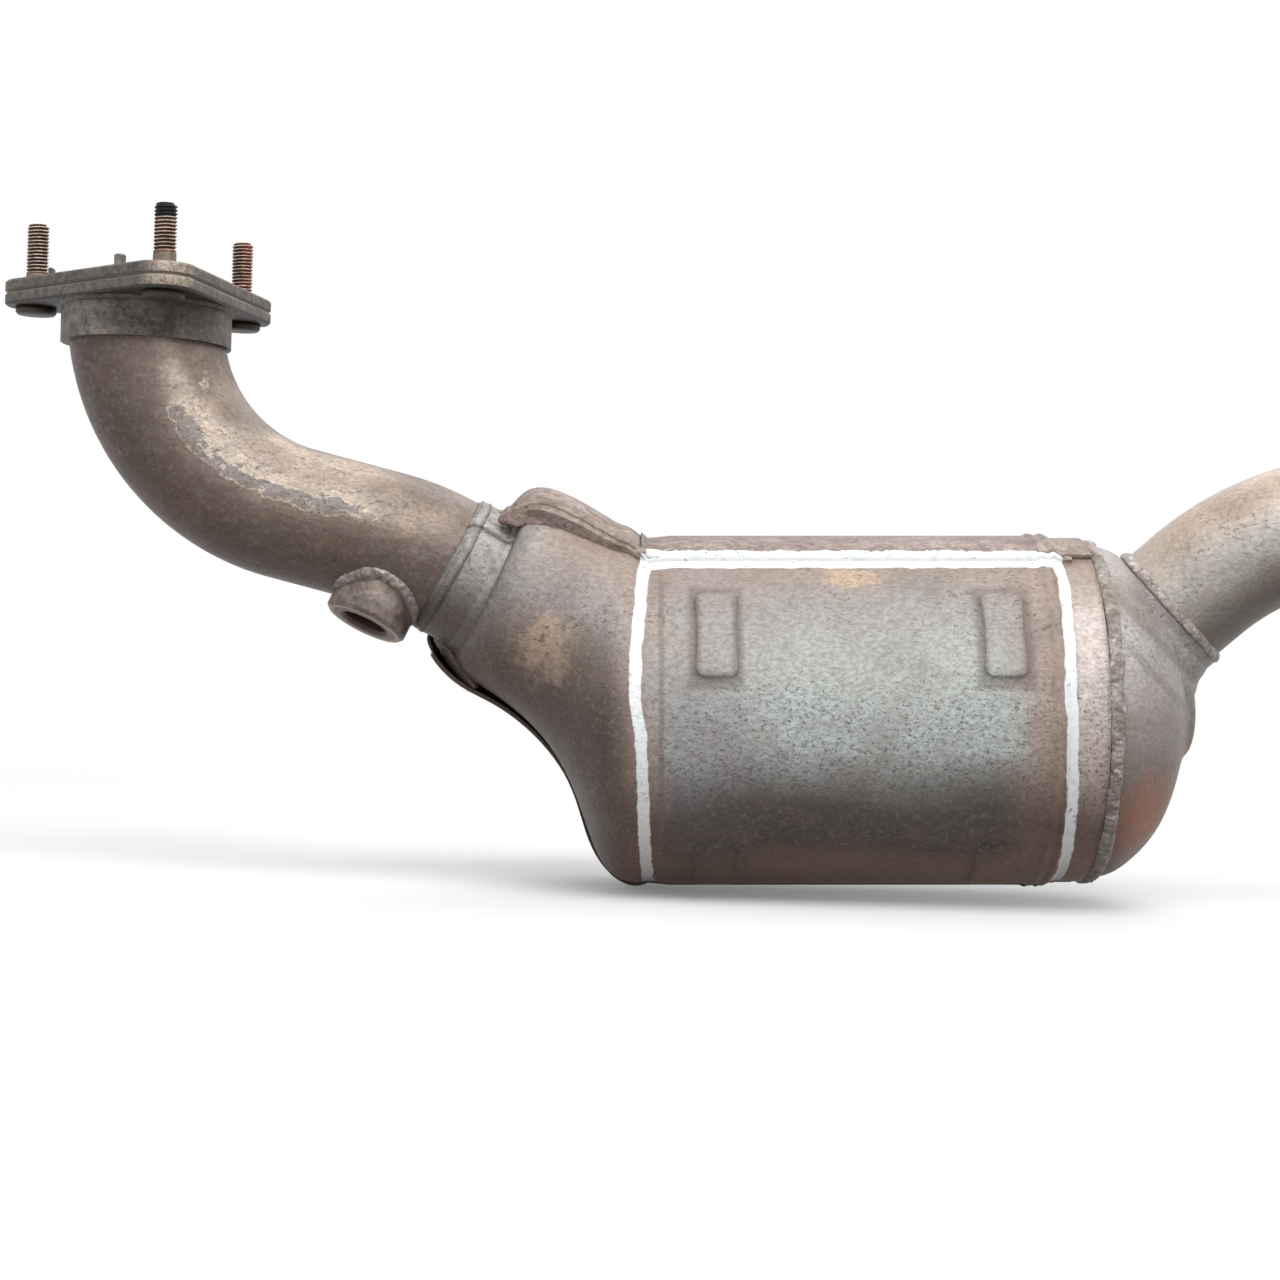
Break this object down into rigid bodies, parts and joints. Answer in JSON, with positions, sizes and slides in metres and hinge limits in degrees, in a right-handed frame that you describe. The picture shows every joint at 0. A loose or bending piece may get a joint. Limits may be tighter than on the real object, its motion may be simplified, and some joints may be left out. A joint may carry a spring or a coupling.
{
  "type": "catalytic converter",
  "caption": "Exhaust catalytic converter with a bent inlet pipe, studded inlet flange, oxygen sensor boss, clamshell canister and angled outlet pipe.",
  "frame": {"origin": "centre of the inlet flange's gasket face, on the axis of the stud circle", "axes": "+Z out of the inlet flange along its studs, +X from the inlet towards the outlet, -Y towards the side that the picture shows"},
  "size_m": [0.5401, 0.1346, 0.2349],
  "materials": {
    "flange_steel": "dark scaled steel",
    "stud_steel": "rusted steel",
    "dowel_steel": "dark steel",
    "collar_steel": "dark scaled steel",
    "weld_metal": "rough weld bead",
    "inlet_pipe_steel": "heat-tinted stainless",
    "boss_steel": "heat-tinted turned steel",
    "front_shell_steel": "pitted stainless",
    "rear_shell_steel": "pitted stainless",
    "outlet_cone_steel": "pitted stainless",
    "outlet_pipe_steel": "heat-tinted stainless",
    "brick_ceramic": "matte ceramic",
    "mat_fibre": "matte fibre",
    "seal_wire": "knitted wire"
  },
  "bodies": {
    "root": {"flange_top_plate": "flange_steel", "flange_bottom_plate": "flange_steel", "flange_studs": "stud_steel", "locating_dowel": "dowel_steel", "gasket_tab": "dowel_steel", "flange_collar": "collar_steel", "flange_weld": "weld_metal", "inlet_pipe": "inlet_pipe_steel", "sensor_boss": "boss_steel", "sensor_boss_weld": "weld_metal", "inlet_neck_weld": "weld_metal", "front_shell": "front_shell_steel", "rear_shell": "rear_shell_steel", "seam_weld_top": "weld_metal", "seam_weld_bottom": "weld_metal", "body_ring_weld": "weld_metal", "outlet_cone": "outlet_cone_steel", "outlet_neck_weld": "weld_metal", "outlet_pipe": "outlet_pipe_steel", "monolith": "brick_ceramic", "support_mat": "mat_fibre", "inlet_mesh_seal": "seal_wire", "outlet_mesh_seal": "seal_wire"}
  },
  "joints": []
}
